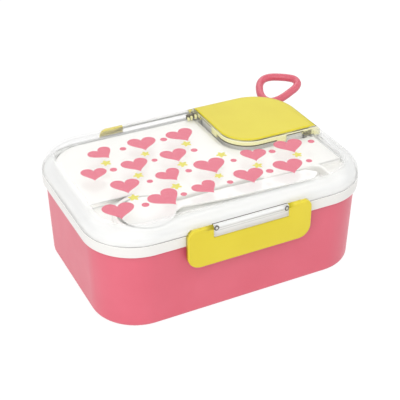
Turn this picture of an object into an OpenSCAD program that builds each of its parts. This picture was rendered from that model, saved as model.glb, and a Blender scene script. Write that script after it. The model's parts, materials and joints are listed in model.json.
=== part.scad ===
// Bento lunch box: a tapered tub, a cutlery tray, a clear snap-on lid with two hinged
// latches and a corner flap over a sauce cup.  X runs along the long front side, -Y is the
// front, +Z is up, and the origin lies under the middle of the tub's flat foot.

/* [Body] */
// Length over the rim
body_l = 210; // [190:1:235]
// Width over the rim
body_w = 149; // [135:1:170]
// Plan radius of the rim's corners
corner_r = 37.5; // [34:0.5:42]
// Height of the tub's rim above the table
base_h = 65.2; // [58:0.2:75]
// Wall of the tub
base_t = 2.2; // [1.8:0.1:2.6]
// Floor of the tub
floor_t = 2.4; // [1.8:0.1:3.2]
// How far the tub's wall leans in from rim to foot
draft_run = 1.6; // [0.8:0.1:3]
// Radius round the tub's foot
foot_r = 3.6; // [2.5:0.1:5]
// Depth of the moulded ring in the foot
foot_groove_d = 0.8; // [0.4:0.1:1.2]
// Width of the moulded ring in the foot
foot_groove_w = 3; // [2:0.5:5]
// Inset of that ring's outer edge from the rim
foot_groove_in = 16; // [13:0.5:22]

/* [Divider] */
// Where the divider stands, from the middle
divider_x = 16; // [0:1:18]
// Thickness of the divider
divider_t = 1.8; // [1.4:0.1:2.4]
// Height of the divider's top edge
divider_h = 54; // [40:1:57]
// How far each guide rib stands out of the wall
guide_proud = 1.4; // [1:0.1:2]
// Thickness of each guide rib
guide_t = 1.6; // [1.2:0.1:2.4]
// Gap between the divider and its guides
divider_gap = 0.35; // [0.2:0.05:0.6]

/* [Tray] */
// Wall of the tray
tray_t = 1.8; // [1.5:0.1:2.1]
// Height of the white skirt round the rim
skirt_h = 8.1; // [7:0.1:9.5]
// Gap between the skirt and the tub
skirt_gap = 0.4; // [0.3:0.05:0.6]
// Depth of the plug wall inside the tub
plug_h = 9.5; // [7:0.5:12]
// Gap between the plug wall and the tub
plug_gap = 0.6; // [0.4:0.1:0.9]
// Height of the raised deck over the flange
deck_h = 4; // [3:0.2:5]
// Inset of the deck's wall from the rim
deck_inset = 9.8; // [9.6:0.1:11]
// Distance of the deck's front step from the front rim
deck_front_in = 57.5; // [53:0.5:64]
// Width of the ledge round the sauce pocket
ledge_w = 3.5; // [2.5:0.5:5]
// Height of that ledge over the flange
ledge_h = 2; // [1.6:0.1:2.4]
// Thickness of the seal between tub and tray
base_seal_t = 1.5; // [1.2:0.1:2]

/* [Cutlery bay] */
// Distance of the bay's round end from the left rim, to its middle
bowl_in_x = 45.5; // [43:0.5:48]
// Distance of the bay's round end from the front rim, to its middle
bowl_in_y = 33.5; // [32.5:0.5:34.5]
// Radius of the bay's round end
bowl_r = 20.5; // [20:0.5:21]
// Land between the bay and the deck's front wall
bay_land = 3; // [2.4:0.1:3.6]
// Depth of the bay under the flange
bay_d = 2.4; // [1.6:0.1:3]
// Distance of the handle's channel from the front rim
channel_in = 16.5; // [15.5:0.5:17.5]
// Width of the channel beside the round end
channel_w = 24; // [22:0.5:25]
// Width of the channel's narrow part
channel_narrow_w = 19; // [18:0.5:20]
// Distance of the channel's step from the right rim
channel_step_in = 73; // [67:1:79]
// Distance of the channel's end from the right rim
channel_end_in = 29; // [27:1:35]
// Radius of the channel's corners
channel_r = 6; // [4:0.5:8]

/* [Lid] */
// Height of the clear lid over the tray's flange
lid_h = 11.5; // [11:0.1:14]
// Wall of the clear lid
lid_t = 2; // [1.6:0.1:2.2]
// Radius of the lid's shoulder
shoulder_r = 10.6; // [9:0.1:11]
// Thickness of the seal between tray and lid
lid_seal_t = 2.1; // [1.8:0.1:2.4]
// Width of that seal
lid_seal_w = 2.8; // [2.2:0.1:3]
// Inset of that seal's outer edge from the rim
lid_seal_inset = 5; // [4.8:0.1:5.2]
// Rib on each side of the seal
seal_rib_t = 1; // [0.8:0.1:1.2]
// Thickness of the shelf that the seal hangs from
shelf_t = 1.2; // [0.9:0.1:1.5]
// Height of the low ring that carries on under the flap
ring_h = 1.1; // [0.9:0.1:1.3]
// Width of the lug at each long side
lug_w = 56.4; // [49:0.2:61]
// Radius of the lug round the latch pin
lug_r = 2.4; // [2.1:0.05:2.5]
// How far the lug reaches down under the lid's edge
lug_drop = 3.4; // [2:0.1:4]

/* [Flap] */
// Distance of the flap's left edge from the right rim
flap_l = 75.5; // [71:0.5:79]
// Distance of the flap's front edge from the rear rim
flap_w = 72.5; // [68.5:0.5:76.5]
// Radius of the flap's inner corner
flap_r = 22; // [18:0.5:26]
// Gap round the flap in the lid
flap_gap = 0.5; // [0.4:0.05:0.8]
// Thickness of the flap's cover
cover_t = 1.6; // [1.2:0.1:1.8]
// Height of the pale rim under the cover
flap_rim_h = 5; // [4.4:0.1:5.4]
// Wall of the pale rim
flap_rim_t = 2; // [1.6:0.1:2.2]
// Thickness of the frame's plate under the cover
frame_plate_t = 1.4; // [1:0.1:1.8]
// Width of each snap tab
tab_w = 8; // [6:0.5:12]
// How far each snap tab hangs under the rim
tab_drop = 1.6; // [1.2:0.1:2]
// Distance of the front snap tab's middle from the right rim
tab_in_x = 35; // [33:0.5:39]
// Distance of the left snap tab's middle from the rear rim
tab_in_y = 40.5; // [36.5:0.5:44.5]
// Radius of the flap hinge's knuckles
knuckle_r = 2.1; // [1.9:0.05:2.15]
// Radius of the flap's pin
flap_pin_r = 0.9; // [0.7:0.05:1.1]
// Length of the lid's knuckle
ear_l = 11.4; // [8:0.2:14]
// Length of the whole flap hinge
hinge_l = 33.5; // [28:0.5:34]

/* [Sauce cup] */
// Depth of the cup's pocket under the flange
pocket_d = 18.5; // [12:0.5:22]
// Wall of the cup
cup_t = 1.6; // [1.2:0.1:2]
// Gap between the cup and its pocket
cup_gap = 2.6; // [2.2:0.1:3.2]
// Thickness of the cup's seal
cup_seal_t = 2; // [1.6:0.1:2.4]

/* [Latches] */
// Width of each latch
latch_w = 94; // [84:1:104]
// Thickness of the latch's plate
latch_t = 2.4; // [2:0.1:2.6]
// Height of the latch's lower edge above the table
latch_foot_z = 43.2; // [36:0.2:46]
// Radius of the lower corners
latch_foot_r = 9.5; // [7:0.5:11]
// Radius of the upper corners
latch_head_r = 6.5; // [5:0.5:7]
// Depth of the notch under the pin
notch_d = 7.4; // [7:0.1:8]
// Radius of the latch's knuckle
latch_knuckle_r = 2; // [1.9:0.05:2.05]
// Height of the latch pin over the tray's flange
latch_pin_up = 3.2; // [3:0.1:3.6]
// How far the latch pin stands out from the rim
latch_pin_out = 2.3; // [2.2:0.05:2.5]
// Radius of the latch pins
latch_pin_r = 1; // [0.8:0.05:1.15]
// Reach of each latch pin into the latch
latch_pin_reach = 4.7; // [3:0.1:6]
// Depth of the stiffening rim behind the plate
latch_rim_d = 1.2; // [0.8:0.1:1.4]
// Width of each hook
hook_w = 16; // [10:1:20]
// Middle of each hook
hook_x = 27; // [22:1:30]
// How far a hook reaches under its catch
hook_bite = 0.5; // [0.4:0.05:0.6]
// Gap between a hook and its catch, upwards
hook_gap = 0.9; // [0.8:0.05:1.2]
// How far a catch stands out of the tub
catch_proud = 1.7; // [1.5:0.05:1.8]
// Height of a catch's outer edge under the skirt
catch_down = 4; // [3:0.1:5]
// Slope of the catch faces, out per up
catch_slope = 0.45; // [0.4:0.01:0.5]

/* [Carry loop] */
// Radius of the loop's round section
cord_r = 2.9; // [2.4:0.1:3.2]
// Centre-line radius of the loop's two far bends
loop_bend_r = 6.5; // [6:0.1:8]
// Half the distance between those bends' centres
loop_half_w = 9.2; // [8:0.1:11]
// Centre-line radius of the bowed far side
loop_bow_r = 40; // [34:1:60]
// Centre-line radius at the loop's root
loop_root_r = 3.6; // [3.2:0.1:4.4]
// Distance from the root's centre out to the bends' centres
loop_span = 30.4; // [27:0.1:34]
// Rise of the loop at rest
loop_tilt = 12; // [0:1:14]
// Radius of the loop's pin
loop_pin_r = 1.25; // [1:0.05:1.4]
// Thickness of each ear on the tray
loop_ear_t = 2.4; // [2:0.1:3]
// Length of the loop's eye between the ears
loop_eye_l = 7; // [6:0.2:9]
// How far the loop's pin stands out from the rim
loop_pin_out = 4.2; // [4:0.1:5]

/* [Cutlery] */
// Gap between the handles' end and the channel's end
handle_gap = 6; // [4:0.5:12]
// Width of the spoon's bowl
spoon_bowl_w = 37; // [32:0.5:38]
// Depth of the spoon's bowl
spoon_deep = 2.9; // [2:0.1:3.2]
// Width of the handles
handle_w = 13; // [10:0.5:14]
// Thickness of the cutlery
cutlery_t = 1.6; // [1.2:0.1:1.8]

/* [Hidden] */
$fn = 96;

// Small overlap that joins pieces of one node
join = 0.4;
// Clearance of a seal in its groove
seal_play = 0.1;
// Clearance of the flap's knuckles over the ring and beside the lid's
knuckle_gap = 0.15;
// Running clearance of a pin in its bore
run = 0.05;
// Side clearance of a hinge between its knuckles
side = 0.3;

// Half distances between the corner centres
corner_x = body_l / 2 - corner_r;
corner_y = body_w / 2 - corner_r;

// Levels
seal_z = base_h;
flange_z = base_h + base_seal_t + tray_t;
skirt_z = flange_z - skirt_h;
deck_z = flange_z + deck_h;
lid_z = flange_z + lid_h;
bay_z = flange_z - bay_d;
pocket_z = flange_z - pocket_d;
ledge_z = flange_z + ledge_h;
shelf_z = flange_z + lid_seal_t;
shelf_top_z = shelf_z + shelf_t;
ring_z = flange_z + ring_h;

// Places of the bay, the deck's step and the flap, all held from the rim
bowl_x = bowl_in_x - body_l / 2;
bowl_y = bowl_in_y - body_w / 2;
handle_front_y = channel_in - body_w / 2;
handle_rear_y = handle_front_y + channel_w;
handle_step_y = handle_front_y + channel_narrow_w;
handle_step_x = body_l / 2 - channel_step_in;
handle_end_x = body_l / 2 - channel_end_in;
handle_mid_y = (handle_front_y + handle_step_y) / 2;
spoon_l = handle_end_x - handle_gap - bowl_x + spoon_bowl_w / 2;
deck_front_y = deck_front_in - body_w / 2;
flap_x = body_l / 2 - flap_l;
flap_y = body_w / 2 - flap_w;
tab_x = body_l / 2 - tab_in_x;
tab_y = body_w / 2 - tab_in_y;

// Insets from the rim's outline
base_inset = tray_t + skirt_gap;
plug_inset = base_inset + base_t + plug_gap;
rib_out = lid_seal_inset - seal_play;
rib_in = lid_seal_inset + lid_seal_w + seal_play;
shelf_inset = rib_in + seal_rib_t;
function wall_inset(z) = base_inset + draft_run * (base_h - z) / base_h;

// Flap hinge axis, tucked under the shoulder
flap_pin_z = ring_z + knuckle_gap + knuckle_r;
flap_pin_up = flap_pin_z - lid_z + shoulder_r;
flap_pin_inset = shoulder_r - sqrt(pow(shoulder_r, 2) - pow(flap_pin_up, 2)) + 0.1 + knuckle_r;
flap_pin_x = body_l / 2 - flap_pin_inset;
skirt_cut_z = flap_pin_z + knuckle_r + 0.2;
hinge_y = flap_y + join;
ear_y = hinge_y + (hinge_l - ear_l) / 2;
flap_rim_z = lid_z - cover_t - flap_rim_h;
leaf_inset = shoulder_r + 1.4;
cup_top_z = flap_rim_z - 0.8;

// Latch axis and catch
notch_w = lug_w + 2 * side;
latch_pin_y = body_w / 2 + latch_pin_out;
latch_pin_z = flange_z + latch_pin_up;
latch_back_y = latch_pin_y - 0.5;
latch_boss_l = latch_pin_reach + 3.7;
catch_z = skirt_z - catch_down;
catch_y = body_w / 2 - wall_inset(catch_z) + catch_proud;
hook_tip_y = catch_y - hook_bite;

// Loop pin, on the diagonal of the rear right corner
loop_pin_d = corner_r + loop_pin_out;
loop_pin_z = (skirt_z + flange_z) / 2;
loop_eye_r = loop_pin_out - 0.4;
loop_root_x = loop_root_r + 1.2;
cord_step = 0.15;

// ---- Shared shapes -------------------------------------------------------

// Runs a profile round the rim: x is the inset from the rim, y is the height
module around() {
  for (i = [0:3]) {
    half = i % 2 == 0 ? [corner_x, corner_y] : [corner_y, corner_x];
    rotate([0, 0, 90 * i])
      translate([half[0], half[1], 0]) {
        rotate_extrude(angle = 90) translate([corner_r, 0]) mirror([1, 0]) children();
        rotate([90, 0, 0])
          linear_extrude(2 * half[1]) translate([corner_r, 0]) mirror([1, 0]) children();
      }
  }
}

// The rim's plan outline, set in
module outline(inset) {
  r = corner_r - inset;
  square([2 * (corner_x + r), 2 * corner_y], center = true);
  square([2 * corner_x, 2 * (corner_y + r)], center = true);
  for (x = [-corner_x, corner_x], y = [-corner_y, corner_y]) {
    translate([x, y]) circle(r);
  }
}

module slab(z0, z1) {
  translate([0, 0, z0]) linear_extrude(z1 - z0) children();
}

// A ring of constant section round the rim
module band(inset, width, z0, z1) {
  around() translate([inset, z0]) square([width, z1 - z0]);
}

// The lid's domed body, set in all over by e, from z0 up
module dome(e, z0) {
  centre_z = lid_z - shoulder_r;
  around() {
    intersection() {
      translate([shoulder_r, centre_z]) circle(shoulder_r - e);
      translate([0, centre_z]) square([shoulder_r, shoulder_r]);
    }
    translate([e, z0]) square([shoulder_r - e, centre_z - z0]);
    translate([shoulder_r, z0]) square([join, lid_z - e - z0]);
  }
  slab(z0, lid_z - e) outline(shoulder_r);
}

// Plan of the flap's corner, grown all round, open to the rear and the right
module flap_plan(grow) {
  r = flap_r + grow;
  far = body_l;
  translate([flap_x + flap_r, flap_y - grow]) square([far, far]);
  translate([flap_x - grow, flap_y + flap_r]) square([far, far]);
  translate([flap_x + flap_r, flap_y + flap_r]) circle(r);
}

// The flap's leaf: its corner plan inside the lid's flat top
module leaf(grow) {
  intersection() {
    flap_plan(grow);
    outline(leaf_inset - grow);
  }
}

// A bar with round corners
module bar(x0, x1, y0, y1, r) {
  translate([x0 + r, y0]) square([x1 - x0 - 2 * r, y1 - y0]);
  translate([x0, y0 + r]) square([x1 - x0, y1 - y0 - 2 * r]);
  for (x = [x0 + r, x1 - r], y = [y0 + r, y1 - r]) {
    translate([x, y]) circle(r);
  }
}

// Plan of the cutlery bay, grown all round
module bay_plan(grow) {
  r = channel_r + grow;
  translate([bowl_x, bowl_y]) circle(bowl_r + grow);
  bar(bowl_x - r, handle_step_x + grow, handle_front_y - grow, handle_rear_y + grow, r);
  bar(bowl_x - r, handle_end_x + grow, handle_front_y - grow, handle_step_y + grow, r);
}

// Plan of the tray's raised deck, set in all round
module deck_plan(inset) {
  intersection() {
    outline(deck_inset + inset);
    union() {
      bay_plan(bay_land - inset);
      translate([-body_l, deck_front_y + inset]) square([2 * body_l, body_w]);
      translate([bowl_x, handle_step_y + inset]) square([2 * body_l, body_w]);
    }
  }
}

// ---- Tub -----------------------------------------------------------------

// Half section of the tub's wall, with the rounded foot
module tub_section() {
  inset_foot = wall_inset(foot_r);
  difference() {
    union() {
      polygon([[base_inset, base_h], [inset_foot, foot_r],
               [inset_foot + foot_r, foot_r], [base_inset + 2 * foot_r, base_h]]);
      translate([inset_foot + foot_r, foot_r]) circle(foot_r);
      translate([inset_foot + foot_r, 0]) square([foot_r, 2 * foot_r]);
    }
    polygon([[base_inset + base_t, base_h + 1], [base_inset + base_t, base_h],
             [wall_inset(2 * foot_r) + base_t, 2 * foot_r], [wall_inset(2 * foot_r) + base_t, floor_t + foot_r],
             [wall_inset(foot_r) + base_t + foot_r, floor_t], [corner_r, floor_t], [corner_r, base_h + 1]]);
  }
}

module catch_section() {
  wall_y = body_w / 2 - wall_inset(catch_z) - join;
  polygon([[wall_y, catch_z - (catch_proud + join) / catch_slope], [catch_y, catch_z],
           [catch_y, catch_z + 1.6], [wall_y, catch_z + 3]]);
}

module catches() {
  for (turn = [0, 180], x = [-hook_x, hook_x]) {
    rotate([0, 0, turn])
      translate([x + hook_w / 2 + 2, 0, 0]) rotate([90, 0, -90])
        linear_extrude(hook_w + 4) catch_section();
  }
}

// Ribs that hold the divider upright, front and rear
module guides() {
  gap = divider_t / 2 + divider_gap;
  for (turn = [0, 180], edge = [-gap - guide_t, gap]) {
    x = turn == 0 ? divider_x + edge : -divider_x - edge - guide_t;
    rotate([0, 0, turn])
      translate([x + guide_t, 0, 0]) rotate([90, 0, -90]) linear_extrude(guide_t)
        polygon([[body_w / 2 - wall_inset(0) - base_t - guide_proud - foot_r, floor_t - join],
                 [body_w / 2 - wall_inset(2 * foot_r) - base_t - guide_proud, floor_t + foot_r + 2],
                 [body_w / 2 - wall_inset(divider_h) - base_t - guide_proud, divider_h - 3],
                 [body_w / 2 - wall_inset(divider_h) - base_t + join, divider_h],
                 [body_w / 2 - wall_inset(foot_r) - base_t + join, foot_r],
                 [body_w / 2 - wall_inset(foot_r) - foot_r, floor_t - join]]);
  }
}

module base_box() {
  color("#ee7f8f")
    difference() {
      union() {
        around() tub_section();
        slab(0, floor_t) outline(wall_inset(foot_r) + foot_r + join);
        catches();
        guides();
      }
      translate([0, 0, -1])
        slab(0, 1 + foot_groove_d)
          difference() {
            outline(foot_groove_in);
            outline(foot_groove_in + foot_groove_w);
          }
    }
}

module divider() {
  gap = base_t + divider_gap;
  edge = [[body_w / 2 - wall_inset(foot_r) - gap - foot_r, floor_t],
          [body_w / 2 - wall_inset(2 * foot_r) - gap, floor_t + foot_r + 0.4],
          [body_w / 2 - wall_inset(divider_h) - gap, divider_h - 6],
          [body_w / 2 - wall_inset(divider_h) - gap - 6, divider_h]];
  color("#f4f3ef")
    translate([divider_x - divider_t / 2, 0, 0]) rotate([90, 0, 90])
      linear_extrude(divider_t)
        polygon([for (s = [-1, 1], p = s < 0 ? edge : [for (i = [len(edge) - 1:-1:0]) edge[i]])
          [s * p[0], p[1]]]);
}

// ---- Tray ----------------------------------------------------------------

// Two ears that hold the loop's pin, on the corner of the skirt
module loop_ears() {
  at_loop_pin()
    for (s = [-1, 1]) {
      y = s * (loop_eye_l / 2 + side + loop_ear_t / 2);
      translate([0, y, 0]) rotate([90, 0, 0])
        cylinder(r = loop_eye_r, h = loop_ear_t, center = true);
      translate([-loop_pin_out - 1, y - loop_ear_t / 2, -loop_eye_r])
        cube([loop_pin_out + 1, loop_ear_t, 2 * loop_eye_r]);
    }
}

// Moves to the loop's pin, with X pointing out along the corner's diagonal
module at_loop_pin() {
  translate([corner_x, corner_y, loop_pin_z]) rotate([0, 0, 45])
    translate([loop_pin_d, 0, 0]) children();
}

module inner_tray() {
  color("#f7f6f2")
    difference() {
      union() {
        band(0, tray_t, skirt_z, flange_z);
        band(0, deck_inset + tray_t, flange_z - tray_t, flange_z);
        band(plug_inset, tray_t, flange_z - plug_h, flange_z);
        slab(flange_z - tray_t, flange_z) outline(deck_inset);
        slab(flange_z - tray_t, deck_z) deck_plan(0);
        slab(bay_z - tray_t, flange_z) bay_plan(tray_t);
        slab(pocket_z - tray_t, deck_z) leaf(tray_t);
        loop_ears();
      }
      // the hollow under the deck, left round the bay and the pocket
      difference() {
        slab(flange_z - tray_t - 1, deck_z - tray_t) deck_plan(tray_t);
        slab(bay_z - tray_t - 2, deck_z) bay_plan(tray_t);
        slab(pocket_z, deck_z) leaf(tray_t);
        slab(ledge_z - tray_t, deck_z) leaf(ledge_w + tray_t);
      }
      slab(bay_z, deck_z + 1) bay_plan(0);
      slab(ledge_z, deck_z + 1) leaf(ledge_w);
      slab(pocket_z, deck_z + 1) leaf(0);
      at_loop_pin() rotate([90, 0, 0])
        cylinder(r = loop_pin_r + run, h = loop_eye_l + 2 * loop_ear_t + 4, center = true);
    }
}

module base_seal() {
  color("#e9e9e4")
    band(tray_t + 0.1, plug_inset - tray_t - 0.2, seal_z, seal_z + base_seal_t);
}

module sauce_cup() {
  color("#fbfaf6")
    difference() {
      slab(pocket_z, cup_top_z) leaf(-cup_gap);
      slab(pocket_z + cup_t, cup_top_z + 1) leaf(-cup_gap - cup_t);
    }
}

// ---- Cutlery -------------------------------------------------------------

// A lofted blade: each station gives its place, half width, height and depth of the dish
module blade(stations, thick) {
  m = 8;
  n = len(stations) - 1;
  rows = [for (s = stations)
    concat([for (j = [0:m]) let (a = 2 * j / m - 1) [s[0], a * s[1], s[2] - s[3] * (1 - a * a)]],
           [for (j = [m:-1:0]) let (a = 2 * j / m - 1)
             [s[0], a * (s[1] - 0.3), s[2] - s[3] * (1 - a * a) - thick]])];
  k = 2 * (m + 1);
  points = [for (row = rows, p = row) p];
  sides = [for (i = [0:n - 1], j = [0:k - 1])
    let (a = i * k + j, b = i * k + (j + 1) % k)
    each [[a, a + k, b + k], [a, b + k, b]]];
  ends = [for (j = [0:m - 1]) let (c = k - 1 - j, d = n * k)
    each [[j, j + 1, c - 1], [j, c - 1, c], [d + j, d + c - 1, d + j + 1], [d + j, d + c, d + c - 1]]];
  polyhedron(points, concat(sides, ends), convexity = 4);
}

function smooth(x) = let (c = min(1, max(0, x))) c * c * (3 - 2 * c);

// Half width of a piece of cutlery at s along it: a round head, a neck, then the handle
function head_half(s, r) = let (a = (s - r) / (s < r ? r : r + 1.5)) r * sqrt(max(0, 1 - a * a));
function handle_half(s, r) = s < r ? 1.5 : handle_w / 2 * (0.6 + 0.4 * smooth((s - 2 * r - 4) / 40));
function tip_half(s) = let (a = max(0, s - spoon_l + handle_w / 2) / (handle_w / 2)) sqrt(1 - 0.96 * a * a);

// Stations along a piece of cutlery: place, half width, height and depth of the dish
function cutlery_stations(r, deep) =
  [for (i = [0:40])
    let (s = i < 22 ? 2 * r * (1 - cos(180 * i / 22)) / 2 + 0.02 * i : 2 * r + (spoon_l - 2 * r) * (i - 21) / 19)
      [s, max(head_half(s, r), handle_half(s, r)) * tip_half(s), 0,
       s > 2 * r ? 0 : deep * sin(90 * s / r)]];

// Moves to the heel of the cutlery's head, with X along the handle
module at_cutlery(z) {
  lean = atan((handle_mid_y - bowl_y) / (handle_end_x - bowl_x));
  translate([bowl_x, bowl_y, z]) rotate([0, 0, lean])
    translate([-spoon_bowl_w / 2, 0, 0]) children();
}

module spoon() {
  color("#fbfbf8")
    at_cutlery(bay_z + 2 * cutlery_t + spoon_deep + 0.3)
      blade(cutlery_stations(spoon_bowl_w / 2, spoon_deep), cutlery_t);
}

module fork() {
  head_in = 3;
  head_r = spoon_bowl_w / 2 - head_in;
  slot_w = 2.6;
  pitch = head_r / 2.2;
  half = [for (st = cutlery_stations(head_r, 0)) [st[0], st[1]]];
  color("#f6f6f1")
    at_cutlery(bay_z) translate([head_in, 0, 0])
      linear_extrude(cutlery_t)
        difference() {
          polygon([for (s = [-1, 1], p = s < 0 ? half : [for (i = [len(half) - 1:-1:0]) half[i]])
            [p[0], s * p[1]]]);
          for (i = [-1:1]) {
            translate([-1, i * pitch - slot_w / 2]) square([head_r * 1.25, slot_w]);
            translate([head_r * 1.25 - 1, i * pitch]) circle(d = slot_w);
          }
        }
}

// ---- Lid -----------------------------------------------------------------

module lug_section() {
  front = latch_pin_y + lug_r - 0.3;
  wall = body_w / 2;
  root = lid_t - 0.7;
  translate([wall - root, flange_z + 0.2]) square([front - wall + root, latch_pin_up + lug_r / 4]);
  translate([wall + skirt_gap, flange_z - lug_drop])
    square([front - wall - skirt_gap, latch_pin_up + lug_drop]);
  translate([latch_pin_y, latch_pin_z]) circle(lug_r);
}

module lid_lugs() {
  for (turn = [0, 180]) {
    rotate([0, 0, turn])
      translate([lug_w / 2, 0, 0]) rotate([90, 0, -90])
        linear_extrude(lug_w) lug_section();
  }
}

// The seal's groove: a shelf with a rib each side
module seal_groove() {
  band(lid_t - join, shelf_inset - lid_t + join, shelf_z, shelf_top_z);
  band(rib_out - seal_rib_t, seal_rib_t, flange_z + 0.4, shelf_z + join);
  band(rib_in, seal_rib_t, flange_z + 0.7, shelf_z + join);
}

module clear_lid() {
  color("#f2f6f7", 0.35)
    difference() {
      union() {
        difference() {
          union() {
            difference() {
              dome(0, flange_z);
              dome(lid_t, flange_z - 1);
            }
            seal_groove();
          }
          slab(shelf_top_z, lid_z + 1) flap_plan(flap_gap);
          slab(ring_z, lid_z + 1)
            difference() {
              flap_plan(flap_gap);
              outline(rib_out - seal_rib_t);
            }
        }
        // the low ring that carries on under the flap
        intersection() {
          band(0, rib_out, flange_z, ring_z);
          slab(flange_z, ring_z) flap_plan(0);
        }
        lid_lugs();
        // the lid's knuckle
        translate([flap_pin_x, ear_y, flap_pin_z]) rotate([-90, 0, 0])
          cylinder(r = knuckle_r, h = ear_l);
        translate([flap_pin_x - knuckle_r, ear_y, flange_z + 0.5])
          cube([1.6 * knuckle_r, ear_l, flap_pin_z - flange_z - 0.5]);
      }
      // room for the flap's own knuckles beside it
      for (y = [hinge_y - 2, ear_y + ear_l]) {
        translate([flap_pin_x, y, flap_pin_z]) rotate([-90, 0, 0])
          cylinder(r = knuckle_r + 0.12, h = (hinge_l - ear_l) / 2 + 2);
      }
      translate([flap_pin_x, hinge_y - 3, flap_pin_z]) rotate([-90, 0, 0])
        cylinder(r = flap_pin_r + run, h = hinge_l + 6);
      for (turn = [0, 180]) {
        rotate([0, 0, turn]) at_latch_pin(notch_w + 2) cylinder(r = latch_pin_r + run, h = notch_w + 2);
      }
    }
}

module lid_seal() {
  color("#f0f0ec")
    band(lid_seal_inset, lid_seal_w, flange_z, shelf_z);
}

// ---- Latches -------------------------------------------------------------

// Moves to the start of a run of the given length along the front latch's axis
module at_latch_pin(length) {
  translate([-length / 2, -latch_pin_y, latch_pin_z]) rotate([0, 90, 0]) children();
}

module latch_pin(turn) {
  length = notch_w + 2 * latch_pin_reach;
  rotate([0, 0, turn]) at_latch_pin(length) cylinder(r = latch_pin_r, h = length);
}

// Front view of a latch, set in all round
module latch_face(inset) {
  foot = latch_foot_r - inset;
  head = latch_head_r - inset;
  half = latch_w / 2 - inset;
  low = latch_foot_z + inset;
  high = latch_pin_z + latch_knuckle_r - inset;
  difference() {
    union() {
      translate([-half + foot, low]) square([2 * (half - foot), high - low]);
      translate([-half, low + foot]) square([2 * half, high - low - foot - head]);
      for (s = [-1, 1]) {
        translate([s * (half - foot), low + foot]) circle(foot);
        translate([s * (half - head), high - head]) circle(head);
      }
    }
    translate([-notch_w / 2 - inset, latch_pin_z - notch_d - inset]) square([notch_w + 2 * inset, notch_d * 3]);
  }
}

// Extrudes a front view from depth y0 back to y1, both counted out from the middle
module out_from(y0, y1) {
  translate([0, -y0, 0]) rotate([90, 0, 0]) linear_extrude(y1 - y0) children();
}

module hook_section() {
  tip_z = catch_z - (hook_bite / catch_slope) - hook_gap;
  back = latch_back_y + join;
  polygon([[hook_tip_y, tip_z], [hook_tip_y + 1, tip_z + 1 / catch_slope], [back, tip_z + 1.4 / catch_slope],
           [back, tip_z - 5], [hook_tip_y + 0.6, tip_z - 1.4], [hook_tip_y, tip_z - 0.8]]);
}

module latch(turn) {
  front_y = latch_back_y + latch_t;
  rotate([0, 0, turn])
    color("#e9dd55")
    difference() {
      union() {
        intersection() {
          out_from(latch_back_y - latch_rim_d, front_y) latch_face(0);
          translate([latch_w, 0, 0]) rotate([90, 0, -90]) linear_extrude(2 * latch_w) {
            translate([latch_back_y - latch_rim_d, 0]) square([latch_t + latch_rim_d, latch_pin_z - latch_knuckle_r]);
            translate([latch_back_y, 0]) square([latch_t, latch_pin_z]);
            translate([latch_pin_y, latch_pin_z]) circle(latch_knuckle_r);
          }
        }
        for (s = [-1, 1]) {
          translate([s * (notch_w / 2 + latch_boss_l / 2) - latch_boss_l / 2, 0, 0]) latch_boss();
          translate([s * hook_x + hook_w / 2, 0, 0]) rotate([90, 0, -90])
            linear_extrude(hook_w) hook_section();
        }
      }
      // the hollow back inside the stiffening rim
      difference() {
        out_from(latch_back_y - latch_rim_d - 1, latch_back_y) latch_face(1.6);
        for (s = [-1, 1]) {
          translate([s * hook_x - hook_w / 2, -latch_pin_y, 0]) cube([hook_w, 20, latch_pin_z]);
        }
        translate([-latch_w, -latch_pin_y, latch_pin_z - latch_knuckle_r - 1.6]) cube([2 * latch_w, 20, 20]);
      }
      at_latch_pin(notch_w + 2 * latch_pin_reach + 0.4)
        cylinder(r = latch_pin_r + run, h = notch_w + 2 * latch_pin_reach + 0.4);
    }
}

// Knuckle beside the notch
module latch_boss() {
  translate([0, -latch_pin_y, latch_pin_z]) rotate([0, 90, 0])
    cylinder(r = latch_knuckle_r, h = latch_boss_l);
}

// ---- Flap ----------------------------------------------------------------

module flap_cover() {
  color("#efe365")
    difference() {
      intersection() {
        difference() {
          dome(0, ring_z);
          dome(cover_t, ring_z - 1);
        }
        slab(ring_z, lid_z + 1) flap_plan(0);
        union() {
          slab(skirt_cut_z, lid_z + 1) outline(0);
          translate([0, corner_y + corner_r * 0.42, ring_z + 0.4]) cube([body_l, body_w, lid_h]);
        }
      }
    }
}

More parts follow.
